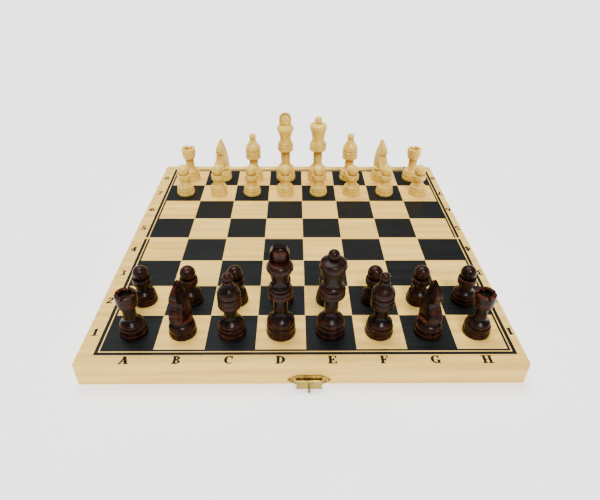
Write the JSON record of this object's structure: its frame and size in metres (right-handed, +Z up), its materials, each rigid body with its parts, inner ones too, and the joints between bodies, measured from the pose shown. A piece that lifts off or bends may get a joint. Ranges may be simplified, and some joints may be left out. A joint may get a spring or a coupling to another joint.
{
  "type": "chess set",
  "caption": "Folding wooden chess set: hinged trays that open into a playing board, with a brass latch and turned dark and light chessmen.",
  "frame": {"origin": "middle of the fold, in the plane of the trays' rims, on which the open board stands", "axes": "+X along the files from a to h, +Y from the dark side to the light side, +Z up"},
  "size_m": [0.29, 0.3019, 0.0897],
  "materials": {
    "board_wood": "satin varnish",
    "paint": "satin black print",
    "brass": "satin",
    "dark_lacquered_wood": "gloss stain and lacquer",
    "light_lacquered_wood": "clear satin lacquer"
  },
  "bodies": {
    "front_half": {"front_panel": "board_wood", "front_inlay": "paint", "front_outer_rail": "board_wood", "front_inner_rail": "board_wood", "front_left_rail": "board_wood", "front_right_rail": "board_wood", "front_hinge_screws": "brass", "front_latch_nails": "brass", "left_hinge_front_leaf": "brass", "right_hinge_front_leaf": "brass", "left_hinge_pin": "brass", "right_hinge_pin": "brass", "hasp_plate": "brass", "hasp_pin": "brass"},
    "back_half": {"back_panel": "board_wood", "back_inlay": "paint", "back_outer_rail": "board_wood", "back_inner_rail": "board_wood", "back_left_rail": "board_wood", "back_right_rail": "board_wood", "back_hinge_screws": "brass", "back_latch_nails": "brass", "left_hinge_back_leaf": "brass", "right_hinge_back_leaf": "brass", "catch_plate": "brass"},
    "hasp": {"hasp_flap": "brass"},
    "dark_rook_a_body": {"dark_rook_a": "dark_lacquered_wood"},
    "dark_knight_b_body": {"dark_knight_b": "dark_lacquered_wood"},
    "dark_bishop_c_body": {"dark_bishop_c": "dark_lacquered_wood"},
    "dark_king_body": {"dark_king": "dark_lacquered_wood"},
    "dark_queen_body": {"dark_queen": "dark_lacquered_wood"},
    "dark_bishop_f_body": {"dark_bishop_f": "dark_lacquered_wood"},
    "dark_knight_g_body": {"dark_knight_g": "dark_lacquered_wood"},
    "dark_rook_h_body": {"dark_rook_h": "dark_lacquered_wood"},
    "dark_pawn_a_body": {"dark_pawn_a": "dark_lacquered_wood"},
    "dark_pawn_b_body": {"dark_pawn_b": "dark_lacquered_wood"},
    "dark_pawn_c_body": {"dark_pawn_c": "dark_lacquered_wood"},
    "dark_pawn_d_body": {"dark_pawn_d": "dark_lacquered_wood"},
    "dark_pawn_e_body": {"dark_pawn_e": "dark_lacquered_wood"},
    "dark_pawn_f_body": {"dark_pawn_f": "dark_lacquered_wood"},
    "dark_pawn_g_body": {"dark_pawn_g": "dark_lacquered_wood"},
    "dark_pawn_h_body": {"dark_pawn_h": "dark_lacquered_wood"},
    "light_rook_a_body": {"light_rook_a": "light_lacquered_wood"},
    "light_knight_b_body": {"light_knight_b": "light_lacquered_wood"},
    "light_bishop_c_body": {"light_bishop_c": "light_lacquered_wood"},
    "light_king_body": {"light_king": "light_lacquered_wood"},
    "light_queen_body": {"light_queen": "light_lacquered_wood"},
    "light_bishop_f_body": {"light_bishop_f": "light_lacquered_wood"},
    "light_knight_g_body": {"light_knight_g": "light_lacquered_wood"},
    "light_rook_h_body": {"light_rook_h": "light_lacquered_wood"},
    "light_pawn_a_body": {"light_pawn_a": "light_lacquered_wood"},
    "light_pawn_b_body": {"light_pawn_b": "light_lacquered_wood"},
    "light_pawn_c_body": {"light_pawn_c": "light_lacquered_wood"},
    "light_pawn_d_body": {"light_pawn_d": "light_lacquered_wood"},
    "light_pawn_e_body": {"light_pawn_e": "light_lacquered_wood"},
    "light_pawn_f_body": {"light_pawn_f": "light_lacquered_wood"},
    "light_pawn_g_body": {"light_pawn_g": "light_lacquered_wood"},
    "light_pawn_h_body": {"light_pawn_h": "light_lacquered_wood"}
  },
  "joints": [
    {"name": "board_fold", "type": "hinge", "parent": "front_half", "child": "back_half", "pos_m": [0, 0, -0.0001], "axis": [-1, 0, 0], "range_deg": [0, 180]},
    {"name": "hasp_swing", "type": "hinge", "parent": "front_half", "child": "hasp", "pos_m": [0.0044, -0.1469, 0.0048], "axis": [-1, 0, 0], "range_deg": [-42, 95]},
    {"name": "lift_dark_rook_a", "type": "slide", "parent": "front_half", "child": "dark_rook_a_body", "axis": [0, 0, 1], "range_m": [0, 0.09]},
    {"name": "lift_dark_knight_b", "type": "slide", "parent": "front_half", "child": "dark_knight_b_body", "axis": [0, 0, 1], "range_m": [0, 0.09]},
    {"name": "lift_dark_bishop_c", "type": "slide", "parent": "front_half", "child": "dark_bishop_c_body", "axis": [0, 0, 1], "range_m": [0, 0.09]},
    {"name": "lift_dark_king", "type": "slide", "parent": "front_half", "child": "dark_king_body", "axis": [0, 0, 1], "range_m": [0, 0.09]},
    {"name": "lift_dark_queen", "type": "slide", "parent": "front_half", "child": "dark_queen_body", "axis": [0, 0, 1], "range_m": [0, 0.09]},
    {"name": "lift_dark_bishop_f", "type": "slide", "parent": "front_half", "child": "dark_bishop_f_body", "axis": [0, 0, 1], "range_m": [0, 0.09]},
    {"name": "lift_dark_knight_g", "type": "slide", "parent": "front_half", "child": "dark_knight_g_body", "axis": [0, 0, 1], "range_m": [0, 0.09]},
    {"name": "lift_dark_rook_h", "type": "slide", "parent": "front_half", "child": "dark_rook_h_body", "axis": [0, 0, 1], "range_m": [0, 0.09]},
    {"name": "lift_dark_pawn_a", "type": "slide", "parent": "front_half", "child": "dark_pawn_a_body", "axis": [0, 0, 1], "range_m": [0, 0.09]},
    {"name": "lift_dark_pawn_b", "type": "slide", "parent": "front_half", "child": "dark_pawn_b_body", "axis": [0, 0, 1], "range_m": [0, 0.09]},
    {"name": "lift_dark_pawn_c", "type": "slide", "parent": "front_half", "child": "dark_pawn_c_body", "axis": [0, 0, 1], "range_m": [0, 0.09]},
    {"name": "lift_dark_pawn_d", "type": "slide", "parent": "front_half", "child": "dark_pawn_d_body", "axis": [0, 0, 1], "range_m": [0, 0.09]},
    {"name": "lift_dark_pawn_e", "type": "slide", "parent": "front_half", "child": "dark_pawn_e_body", "axis": [0, 0, 1], "range_m": [0, 0.09]},
    {"name": "lift_dark_pawn_f", "type": "slide", "parent": "front_half", "child": "dark_pawn_f_body", "axis": [0, 0, 1], "range_m": [0, 0.09]},
    {"name": "lift_dark_pawn_g", "type": "slide", "parent": "front_half", "child": "dark_pawn_g_body", "axis": [0, 0, 1], "range_m": [0, 0.09]},
    {"name": "lift_dark_pawn_h", "type": "slide", "parent": "front_half", "child": "dark_pawn_h_body", "axis": [0, 0, 1], "range_m": [0, 0.09]},
    {"name": "lift_light_rook_a", "type": "slide", "parent": "back_half", "child": "light_rook_a_body", "axis": [0, 0, 1], "range_m": [0, 0.09]},
    {"name": "lift_light_knight_b", "type": "slide", "parent": "back_half", "child": "light_knight_b_body", "axis": [0, 0, 1], "range_m": [0, 0.09]},
    {"name": "lift_light_bishop_c", "type": "slide", "parent": "back_half", "child": "light_bishop_c_body", "axis": [0, 0, 1], "range_m": [0, 0.09]},
    {"name": "lift_light_king", "type": "slide", "parent": "back_half", "child": "light_king_body", "axis": [0, 0, 1], "range_m": [0, 0.09]},
    {"name": "lift_light_queen", "type": "slide", "parent": "back_half", "child": "light_queen_body", "axis": [0, 0, 1], "range_m": [0, 0.09]},
    {"name": "lift_light_bishop_f", "type": "slide", "parent": "back_half", "child": "light_bishop_f_body", "axis": [0, 0, 1], "range_m": [0, 0.09]},
    {"name": "lift_light_knight_g", "type": "slide", "parent": "back_half", "child": "light_knight_g_body", "axis": [0, 0, 1], "range_m": [0, 0.09]},
    {"name": "lift_light_rook_h", "type": "slide", "parent": "back_half", "child": "light_rook_h_body", "axis": [0, 0, 1], "range_m": [0, 0.09]},
    {"name": "lift_light_pawn_a", "type": "slide", "parent": "back_half", "child": "light_pawn_a_body", "axis": [0, 0, 1], "range_m": [0, 0.09]},
    {"name": "lift_light_pawn_b", "type": "slide", "parent": "back_half", "child": "light_pawn_b_body", "axis": [0, 0, 1], "range_m": [0, 0.09]},
    {"name": "lift_light_pawn_c", "type": "slide", "parent": "back_half", "child": "light_pawn_c_body", "axis": [0, 0, 1], "range_m": [0, 0.09]},
    {"name": "lift_light_pawn_d", "type": "slide", "parent": "back_half", "child": "light_pawn_d_body", "axis": [0, 0, 1], "range_m": [0, 0.09]},
    {"name": "lift_light_pawn_e", "type": "slide", "parent": "back_half", "child": "light_pawn_e_body", "axis": [0, 0, 1], "range_m": [0, 0.09]},
    {"name": "lift_light_pawn_f", "type": "slide", "parent": "back_half", "child": "light_pawn_f_body", "axis": [0, 0, 1], "range_m": [0, 0.09]},
    {"name": "lift_light_pawn_g", "type": "slide", "parent": "back_half", "child": "light_pawn_g_body", "axis": [0, 0, 1], "range_m": [0, 0.09]},
    {"name": "lift_light_pawn_h", "type": "slide", "parent": "back_half", "child": "light_pawn_h_body", "axis": [0, 0, 1], "range_m": [0, 0.09]}
  ]
}
